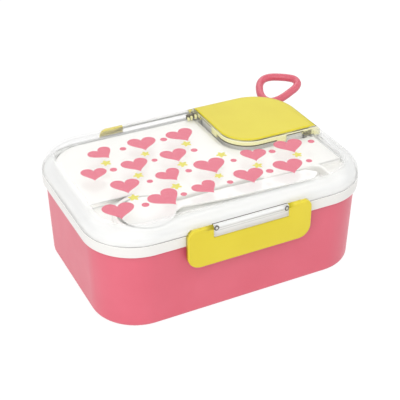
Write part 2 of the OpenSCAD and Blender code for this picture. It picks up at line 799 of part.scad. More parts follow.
module flap_frame() {
  plate_z = lid_z - cover_t;
  color("#efebb4")
    difference() {
      union() {
        difference() {
          slab(flap_rim_z, plate_z) leaf(0);
          slab(flap_rim_z - 1, plate_z - frame_plate_t) leaf(-flap_rim_t);
          // finger room beside each tab
          translate([tab_x + tab_w / 2, flap_y - 1, flap_rim_z - 1])
            cube([body_l / 2 - leaf_inset - 4 - tab_x - tab_w / 2, flap_rim_t + 2, flap_rim_h / 2 + 1]);
          translate([flap_x - 1, tab_y + tab_w / 2, flap_rim_z - 1])
            cube([flap_rim_t + 2, body_w / 2 - leaf_inset - 4 - tab_y - tab_w / 2, flap_rim_h / 2 + 1]);
        }
        // the boss that carries the cup's seal
        slab(cup_top_z + cup_seal_t, plate_z)
          difference() {
            leaf(-cup_gap + 0.2);
            leaf(-cup_gap - cup_t - 0.6);
          }
        // snap tabs
        translate([tab_x - tab_w / 2, flap_y - 0.2, flap_rim_z - tab_drop])
          cube([tab_w, flap_rim_t, flap_rim_h + tab_drop - join]);
        translate([flap_x - 0.2, tab_y - tab_w / 2, flap_rim_z - tab_drop])
          cube([flap_rim_t, tab_w, flap_rim_h + tab_drop - join]);
        // the leg that carries the knuckles
        intersection() {
          dome(cover_t + 0.2, flange_z);
          difference() {
            translate([body_l / 2 - leaf_inset - 2, hinge_y, flap_pin_z])
              cube([leaf_inset + 2, hinge_l, plate_z - flap_pin_z]);
            translate([body_l / 2 - leaf_inset - 3, hinge_y + 2, flap_pin_z - 1])
              cube([leaf_inset + 3 - shelf_inset, hinge_l - 4, plate_z - frame_plate_t - flap_pin_z + 1]);
          }
        }
        for (y = [hinge_y, ear_y + ear_l + side]) {
          translate([flap_pin_x, y, flap_pin_z]) rotate([-90, 0, 0])
            cylinder(r = knuckle_r, h = (hinge_l - ear_l) / 2 - side);
        }
      }
      // room for the lid's knuckle
      translate([flap_pin_x - knuckle_r - 4, ear_y - side, flap_pin_z - 4])
        cube([20, ear_l + 2 * side, knuckle_r + 4.3]);
      translate([flap_pin_x, hinge_y + 1.2, flap_pin_z]) rotate([-90, 0, 0])
        cylinder(r = flap_pin_r + run, h = hinge_l - 2.4);
    }
}

module cup_seal() {
  color("#f3f3ee")
    slab(cup_top_z, cup_top_z + cup_seal_t)
      difference() {
        leaf(-cup_gap);
        leaf(-cup_gap - cup_t - 0.4);
      }
}

module flap_pin() {
  color("silver")
    translate([flap_pin_x, hinge_y + 1.4, flap_pin_z]) rotate([-90, 0, 0])
      cylinder(r = flap_pin_r, h = hinge_l - 2.8);
}

// ---- Carry loop ----------------------------------------------------------

// Lies in its own plane: a rounded triangle with its root at the pin and its
// bowed far side towards +X
module loop_shape() {
  reach = norm([loop_span, loop_half_w]);
  lean = atan2(loop_half_w, loop_span) + asin((loop_bend_r - loop_root_r) / reach);
  arm_l = sqrt(pow(reach, 2) - pow(loop_bend_r - loop_root_r, 2));
  bow_half = asin(loop_half_w / (loop_bow_r - loop_bend_r));
  bow_x = loop_root_x + loop_span - (loop_bow_r - loop_bend_r) * cos(bow_half);
  translate([loop_root_x, 0, 0]) rotate([0, 0, 90 + lean])
    rotate_extrude(angle = 180 - 2 * lean) translate([loop_root_r, 0]) circle(cord_r);
  // the straight arms and the bow are a hair thicker than the bends they run into
  translate([bow_x, 0, 0]) rotate([0, 0, -bow_half - 0.5])
    rotate_extrude(angle = 2 * bow_half + 1)
      translate([loop_bow_r, 0]) circle(cord_r + cord_step);
  for (s = [0, 1]) {
    mirror([0, s, 0]) {
      translate([loop_root_x + loop_span, loop_half_w, 0]) rotate([0, 0, bow_half])
        rotate_extrude(angle = 90 + lean - bow_half)
          translate([loop_bend_r, 0]) circle(cord_r);
      translate([loop_root_x, 0, 0]) rotate([0, 0, 90 + lean]) translate([loop_root_r, join, 0])
        rotate([90, 0, 0]) cylinder(r = cord_r + cord_step, h = arm_l + 2 * join);
    }
  }
}

module carry_loop() {
  color("#ee7f8f")
    at_loop_pin() rotate([0, -loop_tilt, 0])
      difference() {
        union() {
          loop_shape();
          rotate([90, 0, 0]) cylinder(r = cord_r + 0.6, h = loop_eye_l, center = true);
        }
        rotate([90, 0, 0]) cylinder(r = loop_pin_r + run, h = loop_eye_l + 4, center = true);
        for (s = [-1, 1]) {
          translate([0, s * (loop_eye_l / 2 + 10), 0]) rotate([90, 0, 0])
            cylinder(r = loop_eye_r + 0.4, h = 20, center = true);
        }
      }
}

module loop_pin() {
  length = loop_eye_l + 2 * (side + loop_ear_t);
  color("silver")
    at_loop_pin() rotate([90, 0, 0]) cylinder(r = loop_pin_r, h = length, center = true);
}

base_box();
divider();
inner_tray();
base_seal();
sauce_cup();
spoon();
fork();
clear_lid();
lid_seal();
color("#f4f4f0") latch_pin(0);  // front_latch_pin
latch(0);  // front_latch
color("#f4f4f0") latch_pin(180);  // rear_latch_pin
latch(180);  // rear_latch
flap_cover();
flap_frame();
cup_seal();
flap_pin();
carry_loop();
loop_pin();
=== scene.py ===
"""Looks of a bento lunch box: a pink tub, a white cutlery tray, a clear printed lid with two
yellow latches and a corner flap, a sauce cup, cutlery and a carry loop.

Every length is in metres, +Z is up, the front latch faces -Y and the table is at z = 0.
"""

import json
import math

import bmesh
import bpy
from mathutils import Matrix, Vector
from mathutils.kdtree import KDTree


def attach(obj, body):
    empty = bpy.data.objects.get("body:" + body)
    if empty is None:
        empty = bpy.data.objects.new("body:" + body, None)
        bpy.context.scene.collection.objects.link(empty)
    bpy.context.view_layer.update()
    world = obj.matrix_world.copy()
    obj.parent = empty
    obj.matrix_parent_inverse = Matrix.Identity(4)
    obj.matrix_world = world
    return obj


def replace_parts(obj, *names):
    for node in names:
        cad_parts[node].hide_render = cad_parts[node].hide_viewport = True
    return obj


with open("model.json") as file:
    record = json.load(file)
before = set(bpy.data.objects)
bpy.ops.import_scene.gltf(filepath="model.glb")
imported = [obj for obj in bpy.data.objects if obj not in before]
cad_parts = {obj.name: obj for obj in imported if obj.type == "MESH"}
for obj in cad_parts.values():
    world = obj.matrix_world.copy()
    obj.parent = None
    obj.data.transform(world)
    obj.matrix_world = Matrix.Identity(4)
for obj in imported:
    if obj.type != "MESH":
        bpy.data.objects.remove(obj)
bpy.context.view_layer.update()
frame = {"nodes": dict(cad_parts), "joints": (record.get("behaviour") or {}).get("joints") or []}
MM = 0.001

# Where each turning piece's pin sits, by the name of its joint
PIN_OF = {joint["name"]: Vector(joint["pos_m"]) for joint in frame["joints"] if "pos_m" in joint}

# ---- Levels and places, the same as the CAD part's --------------------------------------

BODY_L = 210 * MM
BODY_W = 149 * MM
CORNER_R = 37.5 * MM
FLANGE_Z = 68.5 * MM
DECK_Z = 72.5 * MM
LID_Z = 80 * MM
LID_T = 2 * MM
LATCH_PIN_Z = PIN_OF["front_latch_swing"].z
# The flap: its near corner, the foot of its plate, its two snap tabs and where its front rim ends
FLAP_X = 29.5 * MM
FLAP_Y = 2 * MM
FLAP_R = 22 * MM
PLATE_Z = 78.5 * MM
TAB_X = 70 * MM
TAB_Y = 34 * MM
HALF_TAB = 4 * MM
RIM_END_X = 89 * MM

# ---- Materials --------------------------------------------------------------------------


class Wire:
    """An output socket of a finish. Arithmetic on it adds Math nodes."""

    def __init__(self, finish, socket):
        self.finish = finish
        self.socket = socket

    def __add__(self, other):
        return self.finish.math_node("ADD", self, other)

    def __sub__(self, other):
        return self.finish.math_node("SUBTRACT", self, other)

    def __rsub__(self, other):
        return self.finish.math_node("SUBTRACT", other, self)

    def __mul__(self, other):
        return self.finish.math_node("MULTIPLY", self, other)

    def __pow__(self, other):
        return self.finish.math_node("POWER", self, other)

    __radd__ = __add__


class Finish:
    """The shader nodes of a material or of the world, under construction."""

    def __init__(self, owner):
        self.owner = owner
        owner.use_nodes = True
        self.tree = owner.node_tree
        self.tree.nodes.clear()

    def node(self, kind, settings=None, sockets=None, out=0):
        """Adds a node: its settings first, then the values or links of its sockets."""
        made = self.tree.nodes.new(kind)
        for key, value in (settings or {}).items():
            setattr(made, key, value)
        for place, value in (sockets or {}).items():
            if isinstance(value, Wire):
                self.tree.links.new(value.socket, made.inputs[place])
            else:
                made.inputs[place].default_value = value
        return Wire(self, made.outputs[out]) if made.outputs else None

    def math_node(self, operation, *values):
        """The result of one operation on the values."""
        return self.node("ShaderNodeMath", {"operation": operation}, dict(enumerate(values)))

    def size_of(self, value):
        """A value without its sign."""
        return self.math_node("ABSOLUTE", value)

    def most(self, largest, *others):
        """The largest of the values."""
        for other in others:
            largest = self.math_node("MAXIMUM", largest, other)
        return largest

    def ramp(self, value, low, high, start=0.0, end=1.0):
        """start below low, end above high, smooth between."""
        return self.node(
            "ShaderNodeMapRange",
            {"interpolation_type": "SMOOTHSTEP"},
            {"Value": value, "From Min": low, "From Max": high, "To Min": start, "To Max": end},
        )

    def band(self, value, low, high, soft):
        """1 from low to high, 0 outside, with soft ends."""
        return self.ramp(value, low - soft, low) * (1 - self.ramp(value, high, high + soft))

    def place(self):
        """Where a point lies on its piece, in metres."""
        return self.node("ShaderNodeTexCoord", out="Object")

    def axes(self):
        """The three coordinates of a point on its piece."""
        return tuple(
            self.node("ShaderNodeSeparateXYZ", sockets={0: self.place()}, out=key) for key in "XYZ"
        )

    def past_corner_centres(self):
        """How far a point lies outside the rectangle through the body's four corner centres."""
        arm = self.place()
        for operation, *other in (
            ("ABSOLUTE",),
            ("SUBTRACT", (BODY_L / 2 - CORNER_R, BODY_W / 2 - CORNER_R, 1)),
            ("MAXIMUM", (0, 0, 0)),
            ("MULTIPLY", (1, 1, 0)),
        ):
            arm = self.node(
                "ShaderNodeVectorMath", {"operation": operation}, dict(enumerate([arm, *other]))
            )
        return self.node("ShaderNodeVectorMath", {"operation": "LENGTH"}, {0: arm}, out="Value")

    def noise(self, size, detail=2.0, rough=0.5):
        """Noise with features of the given size, about 0 to 1."""
        sockets = {"Vector": self.place(), "Scale": 1 / size, "Detail": detail, "Roughness": rough}
        return self.node("ShaderNodeTexNoise", sockets=sockets)

    def mix(self, factor, first, second):
        """A colour between two colours."""
        return self.node(
            "ShaderNodeMix", {"data_type": "RGBA"}, {0: factor, 6: first, 7: second}, out=2
        )

    def bump(self, height, depth):
        """A texture of the given depth, for a shader's Normal."""
        sockets = {"Height": height, "Strength": 0.35, "Distance": depth}
        return self.node("ShaderNodeBump", sockets=sockets)

    def rays(self, *kinds):
        """1 for light of the given kinds, 0 for other light."""
        return self.most(
            *(self.node("ShaderNodeLightPath", out="Is %s Ray" % kind) for kind in kinds)
        )

    def surface(self, colour, rough, more=None):
        """A shader with a colour, a roughness and more sockets by name."""
        sockets = {"Base Color": colour, "Roughness": rough, **(more or {})}
        return self.node("ShaderNodeBsdfPrincipled", sockets=sockets)

    def mixed(self, factor, first, second):
        """A shader between two shaders."""
        return self.node("ShaderNodeMixShader", sockets={0: factor, 1: first, 2: second})

    def done(self, shader):
        """The finished material."""
        self.node("ShaderNodeOutputMaterial", sockets={"Surface": shader})
        return self.owner


def new_finish(name):
    """A material under construction."""
    return Finish(bpy.data.materials.new(name))


def rgb(*levels):
    """A linear colour from the 0 to 255 values that a screen shows."""
    parts = [level / 255 for level in levels]
    return tuple(v / 12.92 if v <= 0.04045 else ((v + 0.055) / 1.055) ** 2.4 for v in parts) + (1,)


WHITE = (1, 1, 1, 1)
# Light that lands on what lies behind a clear piece
PASSING_LIGHT = ("Shadow", "Diffuse")
# Light that the camera sees, also in a mirror or through a clear piece
SEEN_LIGHT = ("Camera", "Glossy", "Transmission")
# What varies on moulded plastic: flow marks, rubbed places and the fine texture of the mould
FLOW_SIZE = 45 * MM
RUB_SIZE = 12 * MM
TEXTURE_SIZE = 0.35 * MM
TEXTURE_DEPTH = 0.01 * MM


def flow_marks(finish):
    """Broad faint marks from the flow of the plastic, 0 to 1."""
    return finish.ramp(finish.noise(FLOW_SIZE, detail=3.0), 0.3, 0.72)


def mould_texture(finish):
    """The fine grain that the mould leaves, about 0 to 1."""
    return finish.noise(TEXTURE_SIZE, detail=1.0)


def moulded(name, colour, shade, rough, depth=TEXTURE_DEPTH, painted_skirt_shade=None):
    """Moulded plastic: slight flow marks in its colour, and a fine texture from its mould.

    Below the flange it takes the darker tone given, which is painted shade on the lower sides.
    """
    finish = new_finish(name)
    grain = mould_texture(finish)
    rub = finish.noise(RUB_SIZE, detail=4.0, rough=0.6)
    base = finish.mix(flow_marks(finish), colour, shade)
    if painted_skirt_shade:
        height = finish.axes()[2]
        base = finish.mix(finish.ramp(height, FLANGE_Z - MM, FLANGE_Z), painted_skirt_shade, base)
    gloss = rough + (rub - 0.5) * 0.10 + (grain - 0.5) * 0.06
    return finish.done(finish.surface(base, gloss, {"Normal": finish.bump(grain, depth)}))


# The clear lid: from where to where each of its changes runs. The shoulder and the skin are
# measured outwards from the body's corner centres.
SHOULDER_OUT = (CORNER_R - 13 * MM, CORNER_R - 7 * MM)
SKIN_OUT = (CORNER_R - 1.2 * MM, CORNER_R - 0.8 * MM)
FLAP_SIDE_X = (72 * MM, 82 * MM)
FLAP_SIDE_Y = (-16 * MM, -6 * MM)
REAR_SHOULDER_Y = (38 * MM, 60 * MM)
# Where the painted dark lines of shade and bent light run: along the foot of the wall, and on the lugs
FOOT_Z = (FLANGE_Z + 0.45 * MM, FLANGE_Z + 0.75 * MM)
FOOT_RIGHT_X = (20 * MM, 60 * MM)
REAR_Y = (0, 20 * MM)
LUG_OUT = (74.7 * MM, 74.9 * MM)
LUG_TOP_OUT = (75.3 * MM, 76.9 * MM)
LUG_TOP_Z = (72.9 * MM, 73.1 * MM)
LUG_CROSS_LINES_Z = ((69.5 * MM, 69.9 * MM), (71.4 * MM, 71.7 * MM))
SOCKET_X = 26.6 * MM
SOCKET_RING = (1.0 * MM, 1.8 * MM)
LINE_SOFT = 0.1 * MM


def milky_shoulder(finish, x, y):
    """The milky share of the lid's round shoulder, less beside the flap and at the rear."""
    shoulder = finish.ramp(finish.past_corner_centres(), *SHOULDER_OUT)
    streak = finish.ramp(finish.noise(60 * MM, detail=1.0), 0.3, 0.7, 0.92, 1.05)
    beside_flap = finish.ramp(x, *FLAP_SIDE_X) * finish.ramp(y, *FLAP_SIDE_Y) * 0.5
    rear = finish.ramp(y, *REAR_SHOULDER_Y) * 0.75
    return shoulder * streak * (1 - finish.most(beside_flap, rear))


def painted_foot_line(finish, x, y, z):
    """A dark joint line along the foot of the lid's wall, with painted shade and bent light, fainter at
    the rear and to the right.
    """
    line = (1 - finish.ramp(z, *FOOT_Z)) * finish.ramp(finish.past_corner_centres(), *SKIN_OUT)
    line = line * (1 - finish.ramp(y, *REAR_Y) * 0.5)
    return line * (1 - finish.ramp(x, *FOOT_RIGHT_X) * 0.5) * 0.7


def painted_lug_lines(finish, x, y, z):
    """Painted dark lines on a lug, for shade and bent light: its top edge, two lines across it and a
    ring in each pin socket.
    """
    top = finish.band(finish.size_of(y), *LUG_TOP_OUT, LINE_SOFT) * finish.ramp(z, *LUG_TOP_Z)
    # Painted bent light: two faint dark lines across the lug
    cross_lines = [finish.band(z, *seam, LINE_SOFT) * 0.3 for seam in LUG_CROSS_LINES_Z]
    reach = ((finish.size_of(x) - SOCKET_X) ** 2 + (z - LATCH_PIN_Z) ** 2) ** 0.5
    return finish.most(top, *cross_lines, finish.band(reach, *SOCKET_RING, 0.15 * MM) * 0.95)


def clear_plastic(name, line_tint, haze, shoulder_haze):
    """Clear moulded plastic: milky on its round shoulder, grey only at its very edge, no shade.

    Fine dark lines are painted where shade falls and the light bends most: the foot of its wall,
    which is also a dark joint, and the top, two lines across and the pin sockets of its two lugs.
    """
    finish = new_finish(name)
    x, y, z = finish.axes()
    slant = finish.node("ShaderNodeLayerWeight", sockets={"Blend": 0.5}, out="Facing")
    tint = finish.mix(finish.ramp(slant, 0.98, 1.0), WHITE, line_tint)
    through = finish.node("ShaderNodeBsdfTransparent", sockets={"Color": tint})
    lug = finish.ramp(finish.size_of(y), *LUG_OUT)
    front = 1 - finish.ramp(y, *REAR_Y) * 0.9
    # Painted shade and bent light: the dark lines at the foot of the wall and on the lugs
    dark = finish.most(
        painted_foot_line(finish, x, y, z) * (1 - lug), lug * painted_lug_lines(finish, x, y, z) * front
    )
    rub = finish.noise(50 * MM, detail=1.0)
    white = finish.mix(rub, rgb(247, 247, 246), rgb(242, 243, 242))
    tone = finish.mix(dark, white, rgb(66, 58, 48))
    skin = finish.surface(tone, 0.05 + rub * 0.05, {"Specular IOR Level": 0.6})
    milk = haze + milky_shoulder(finish, x, y) * (shoulder_haze - haze)
    body = finish.most(milk * (1 - lug), lug * front * 0.6)
    seen = finish.most(body, dark) * (1 - finish.rays(*PASSING_LIGHT))
    return finish.done(finish.mixed(seen, through, skin))


# The flap: from where to where each of its changes runs
JOINT_Z = (PLATE_Z - 0.75 * MM, PLATE_Z)
PAINTED_HIGHLIGHT_Z = (PLATE_Z - 1.5 * MM, PLATE_Z - 0.85 * MM)
ROOM_X = (TAB_X + HALF_TAB, RIM_END_X)
ROOM_Y = (TAB_Y + HALF_TAB, 58.5 * MM)
FRONT_TAB_BACK = (5 * MM, 6 * MM)
LEFT_TAB_BACK = (33 * MM, 34 * MM)
HOLLOW_X = (RIM_END_X - 0.5 * MM, 96.4 * MM)
HOLLOW_Y = (2.4 * MM, 2.6 * MM)
HOLLOW_Z = (75.7 * MM, 76.1 * MM)
SHELL_SHADE_Z = 74.5 * MM
ROOM_SHADE_H = 2.3 * MM


def shell_shade(finish, x, y, z):
    """Shade along the shell's lower edge, higher in the finger rooms and none on the tabs."""
    room = finish.most(finish.band(x, *ROOM_X, 0.2 * MM), finish.band(y, *ROOM_Y, 0.2 * MM))
    front_tab = finish.band(x, TAB_X - HALF_TAB, TAB_X + HALF_TAB, LINE_SOFT)
    left_tab = finish.band(y, TAB_Y - HALF_TAB, TAB_Y + HALF_TAB, LINE_SOFT)
    tab = finish.most(
        front_tab * (1 - finish.ramp(y, *FRONT_TAB_BACK)),
        left_tab * (1 - finish.ramp(x, *LEFT_TAB_BACK)),
    )
    edge_z = room * ROOM_SHADE_H + SHELL_SHADE_Z
    shade = (1 - finish.ramp(z, edge_z - 0.15 * MM, edge_z)) * (1 - tab) * 0.95
    over_x = finish.most(FLAP_X + FLAP_R - x, 0.0)
    over_y = finish.most(FLAP_Y + FLAP_R - y, 0.0)
    reach = (over_x**2 + over_y**2) ** 0.5
    return shade * finish.ramp(reach, FLAP_R - 0.4 * MM, FLAP_R - 0.3 * MM)


def leg_hollow(finish, x, y, z):
    """Shade in the hollow at the flap's leg."""
    hollow = finish.band(x, *HOLLOW_X, 0.3 * MM) * (1 - finish.ramp(z, *HOLLOW_Z))
    return hollow * (1 - finish.ramp(y, *HOLLOW_Y)) * 0.75


def two_shot(name, plate, shell, rough):
    """The flap: a bright plate on a cream shell, a fine dark joint between them and a painted highlight
    below it.

    The shell's lower edge, the finger room beside its tabs and the hollow at its leg lie in
    the shade.
    """
    finish = new_finish(name)
    x, y, z = finish.axes()
    flow = flow_marks(finish)
    grain = mould_texture(finish)
    above = finish.ramp(z, PLATE_Z - 0.05 * MM, PLATE_Z + 0.05 * MM)
    uneven = finish.ramp(finish.noise(20 * MM), 0.35, 0.6, 0.45, 0.95)
    joint = finish.band(z, *JOINT_Z, LINE_SOFT) * uneven
    # Painted highlight: a pale band on the shell just below the joint
    painted_highlight = finish.band(z, *PAINTED_HIGHLIGHT_Z, 0.15 * MM) * 0.7
    cream = finish.mix(painted_highlight, finish.mix(flow, *shell), rgb(253, 252, 226))
    colour = finish.mix(above, cream, finish.mix(flow, *plate))
    dark = finish.most(joint, shell_shade(finish, x, y, z), leg_hollow(finish, x, y, z))
    return finish.done(
        finish.surface(
            finish.mix(dark, colour, rgb(70, 60, 34)),
            rough + (grain - 0.5) * 0.06,
            {"Specular IOR Level": 0.42, "Normal": finish.bump(grain, TEXTURE_DEPTH)},
        )
    )


def ink(name, colour, shade):
    """Printed ink: flat colour with a faint mottle; most of the light still falls through it."""
    finish = new_finish(name)
    mottle = finish.noise(3 * MM, detail=3.0)
    tone = finish.mix(finish.ramp(mottle, 0.35, 0.7), colour, shade)
    coat = finish.surface(tone, 0.45 + mottle * 0.1)
    clear = finish.node("ShaderNodeBsdfTransparent", sockets={"Color": WHITE})
    return finish.done(finish.mixed(finish.rays(*PASSING_LIGHT) * 0.92, coat, clear))


def ground_steel(name):
    """Ground steel rod, with a fine mottle of scratches."""
    finish = new_finish(name)
    scratch = finish.noise(0.6 * MM, detail=5.0, rough=0.7)
    tone = finish.mix(scratch, rgb(196, 197, 200), rgb(176, 177, 181))
    return finish.done(finish.surface(tone, 0.22 + scratch * 0.14, {"Metallic": 1.0}))


TUB_PINK = moulded("tub_pink", rgb(229, 108, 127), rgb(225, 102, 121), 0.36)
TRAY_WHITE = moulded(
    "tray_white",
    rgb(248, 247, 243),
    rgb(245, 244, 239),
    0.30,
    depth=0.004 * MM,
    # painted shade: a darker tone below the flange
    painted_skirt_shade=rgb(241, 240, 236),
)
CUTLERY_WHITE = moulded(
    "cutlery_white", rgb(250, 250, 247), rgb(247, 247, 243), 0.22, depth=0.003 * MM
)
LATCH_YELLOW = moulded("latch_yellow", rgb(233, 214, 52), rgb(228, 208, 44), 0.34)
CREAM = (rgb(243, 239, 180), rgb(239, 234, 170))
FLAP_YELLOW = two_shot("flap_yellow", (rgb(228, 213, 38), rgb(224, 207, 30)), CREAM, 0.36)
RIM_CREAM = two_shot("rim_cream", CREAM, CREAM, 0.30)
CATCH_CREAM = moulded("catch_cream", *CREAM, 0.30)
SHADED_GAP = moulded("shaded_gap", rgb(96, 88, 66), rgb(84, 76, 56), 0.5)
SEAL_SILICONE = moulded("seal_silicone", rgb(246, 246, 243), rgb(240, 240, 236), 0.55)
LOOP_SILICONE = moulded("loop_silicone", rgb(222, 102, 120), rgb(217, 96, 114), 0.36)
PRINT_PINK = ink("print_pink", rgb(228, 114, 134), rgb(224, 107, 128))
PRINT_YELLOW = ink("print_yellow", rgb(230, 222, 94), rgb(226, 216, 84))
LID_CLEAR = clear_plastic("lid_clear", (0.80, 0.81, 0.82, 1), haze=0.03, shoulder_haze=0.52)
PIN_STEEL = ground_steel("pin_steel")

# The finish of each CAD node
FINISH_OF = {
    "base_box": TUB_PINK,
    "divider": TRAY_WHITE,
    "inner_tray": TRAY_WHITE,
    "base_seal": SEAL_SILICONE,
    "sauce_cup": TRAY_WHITE,
    "spoon": CUTLERY_WHITE,
    "fork": CUTLERY_WHITE,
    "clear_lid": LID_CLEAR,
    "lid_seal": SEAL_SILICONE,
    "front_latch_pin": CUTLERY_WHITE,
    "front_latch": LATCH_YELLOW,
    "rear_latch_pin": CUTLERY_WHITE,
    "rear_latch": LATCH_YELLOW,
    "flap_cover": FLAP_YELLOW,
    "flap_frame": RIM_CREAM,
    "cup_seal": SEAL_SILICONE,
    "flap_pin": PIN_STEEL,
    "carry_loop": LOOP_SILICONE,
    "loop_pin": PIN_STEEL,
}
for node_name, finish_material in FINISH_OF.items():
    mesh = frame["nodes"][node_name].data
    mesh.materials.clear()
    mesh.materials.append(finish_material)

# ---- Meshes and pieces ------------------------------------------------------------------


def linked(name, data):
    """An object of the scene that holds a mesh, a lamp or a camera."""
    holder = bpy.data.objects.new(name, data)
    bpy.context.scene.collection.objects.link(holder)
    return holder


def shown(name, mesh, finish, body):
    """A finished piece that rides on a body."""
    mesh.materials.clear()
    mesh.materials.append(finish)
    piece = linked(name, mesh)
    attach(piece, body)
    return piece


def settled(shape):
    """A plain mesh of an object with its modifiers applied."""
    seen = shape.evaluated_get(bpy.context.evaluated_depsgraph_get())
    mesh = bpy.data.meshes.new_from_object(seen)
    bpy.data.objects.remove(shape)
    return mesh


def mesh_of(name, shell):
    """The mesh of a finished shell, which is freed."""
    mesh = bpy.data.meshes.new(name)
    shell.to_mesh(mesh)
    shell.free()
    return mesh


def even_normals(name, mesh):
    """Smooth shading whose normals follow the large faces, so flats stay flat."""
    for face in mesh.polygons:
        face.use_smooth = True
    shape = linked(name, mesh)
    weigh = shape.modifiers.new("even", "WEIGHTED_NORMAL")
    weigh.keep_sharp = True
    weigh.weight = 100
    return settled(shape)


def plate_shell(low, high):
    """A closed plate between two outlines with the same number of points."""
    shell = bmesh.new()
    start, end = ([shell.verts.new(place) for place in outline] for outline in (low, high))
    shell.faces.new(reversed(start))
    shell.faces.new(end)
    for low_a, low_b, high_a, high_b in zip(start, start[1:] + start[:1], end, end[1:] + end[:1]):
        shell.faces.new((low_a, low_b, high_b, high_a))
    return shell


# ---- Moulded edges ----------------------------------------------------------------------

# Corners closer than MERGE are one, and what a rounding leaves thinner than SLIVER goes
MERGE = 0.004 * MM
SLIVER = 0.001 * MM
# Triangles that lean less than this out of one plane are one face
FLAT = math.radians(0.6)
# Edges that turn less than this aren't rounded
SHARP = math.radians(28)
# A rounding has folded over where a triangle's doubled area, turned against its face, passes this
FOLD = 2e-10
# Near such a place, within this many widths, edges stay sharp in the next try
FOLD_REACH = 1.6
TRIES = 8


def merged_shell(mesh):
    """A copy of a CAD mesh with its loose triangles joined into whole faces."""
    shell = bmesh.new()
    shell.from_mesh(mesh)
    bmesh.ops.remove_doubles(shell, verts=shell.verts, dist=MERGE)
    bmesh.ops.dissolve_degenerate(shell, dist=2 * MERGE, edges=shell.edges)
    bmesh.ops.dissolve_limit(shell, angle_limit=FLAT, verts=shell.verts, edges=shell.edges)
    return shell


def crossed_places(shell):
    """Corners of the faces that roundings have folded over."""
    shell.normal_update()
    found = []
    for corners in shell.calc_loop_triangles():
        if len(corners[0].face.verts) > 3:
            first, second, third = (corner.vert.co for corner in corners)
            lean = (second - first).cross(third - first).dot(corners[0].face.normal)
            if lean < -FOLD:
                found += [first.copy(), second.copy(), third.copy()]
    return found


def rounded_shell(mesh, rounds):
    """A merged shell with its moulded edges rounded.

    rounds lists (width, steps, test): each sharp edge that passes the test gets that width.
    An edge too close to its neighbours for its rounding stays sharp.
    """
    tight = []
    for attempt in range(TRIES):
        shell = merged_shell(mesh)
        near = KDTree(len(tight) + 1)
        near.insert((0, 0, -1), 0)
        for place in tight:
            near.insert(place, 1)
        near.balance()
        for width, steps, test in rounds:
            sharp = [
                edge
                for edge in shell.edges
                if len(edge.link_faces) == 2
                and edge.calc_face_angle(0) > SHARP
                and all(test(corner.co) for corner in edge.verts)
                and all(near.find(corner.co)[2] > FOLD_REACH * width for corner in edge.verts)
            ]
            bmesh.ops.bevel(
                shell,
                geom=sharp,
                offset=width,
                offset_type="OFFSET",
                segments=steps,
                profile=0.5,
                affect="EDGES",
                clamp_overlap=False,
                miter_outer="ARC",
                loop_slide=True,
            )
        folded = crossed_places(shell)
        if not folded:
            bmesh.ops.dissolve_degenerate(shell, dist=SLIVER, edges=shell.edges[:])
            return shell
        tight += folded
        shell.free()
    return merged_shell(mesh)


def rounded_copy(node, name, rounds, body):
    """A copy of a CAD node with its moulded edges rounded; it stands for the node."""
    mesh = mesh_of(name, rounded_shell(frame["nodes"][node].data, rounds))
    piece = shown(name, even_normals(name, mesh), FINISH_OF[node], body)
    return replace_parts(piece, node)


def everywhere(place):
    """Every edge."""
    return True


def on_deck(place):
    """The tray's upper rims."""
    return place.z > DECK_Z - 0.3 * MM


def outer_face(place):
    """The outer face of a latch."""
    return abs(place.y) > BODY_W / 2 + 3.5 * MM


def flap_edge(place):
    """The rim of the flap's plate."""
    return place.z > LID_Z - 0.6 * MM


def clear_of_lugs(place):
    """The whole lid but its lugs."""
    return abs(place.x) > 50 * MM or abs(place.y) < BODY_W / 2 - 2.5 * MM


# For each node: the copy's name, (width, steps, edges) of its roundings, its body and its slot
for node, name, rounds, body, slot in (
    ("base_box", "tub_shell", [(0.7 * MM, 3, everywhere)], "tub", "pink"),
    ("divider", "divider_wall", [(0.6 * MM, 3, everywhere)], "divider", "white"),
    (
        "inner_tray",
        "cutlery_tray",
        [(1.1 * MM, 4, on_deck), (0.45 * MM, 2, everywhere)],
        "tray",
        "white",
    ),
    ("sauce_cup", "sauce_cup_shell", [(0.6 * MM, 3, everywhere)], "cup", "white"),
    ("spoon", "spoon_body", [(0.4 * MM, 2, everywhere)], "spoon", "cutlery"),
    ("fork", "fork_body", [(0.4 * MM, 2, everywhere)], "fork", "cutlery"),
    ("clear_lid", "lid_shell", [(0.35 * MM, 2, clear_of_lugs)], "lid", "clear"),
    ("front_latch", "front_latch_clip", [(1.0 * MM, 4, outer_face)], "front_latch", "yellow"),
    ("rear_latch", "rear_latch_clip", [(1.0 * MM, 4, outer_face)], "rear_latch", "yellow"),
    ("flap_cover", "flap_top", [(0.9 * MM, 3, flap_edge)], "flap", "yellow_top"),
):
    rounded_copy(node, name, rounds, body)

# ---- The flap's leg and the catch beside it ---------------------------------------------


def upright_plate(name, outline, start, end, soft):
    """A soft-edged plate: an outline across and up, in mm, that runs back from start to end."""
    low, high = (
        [Vector((across * MM, reach * MM, up * MM)) for across, up in outline]
        for reach in (start, end)
    )
    shell = plate_shell(low, high)
    bmesh.ops.bevel(
        shell, geom=shell.edges[:], offset=soft * MM, segments=2, profile=0.5, affect="EDGES"
    )
    bmesh.ops.recalc_face_normals(shell, faces=shell.faces)
    return even_normals(name, mesh_of(name, shell))


# The leg seen from the front, where it starts and ends, and its soft edges, in mm
LEG_OUTLINE = (
    (96.6, 77.8),
    (101.0, 77.4),
    (102.2, 75.6),
    (102.6, 70.2),
    (99.0, 70.2),
    (98.8, 74.0),
    (98.0, 75.2),
    (96.6, 75.7),
)
LEG_START = 1.9
LEG_END = 4.6
LEG_SOFT = 0.3
leg = upright_plate("flap_leg", LEG_OUTLINE, LEG_START, LEG_END, LEG_SOFT)
shown("flap_leg", leg, CATCH_CREAM, "flap")

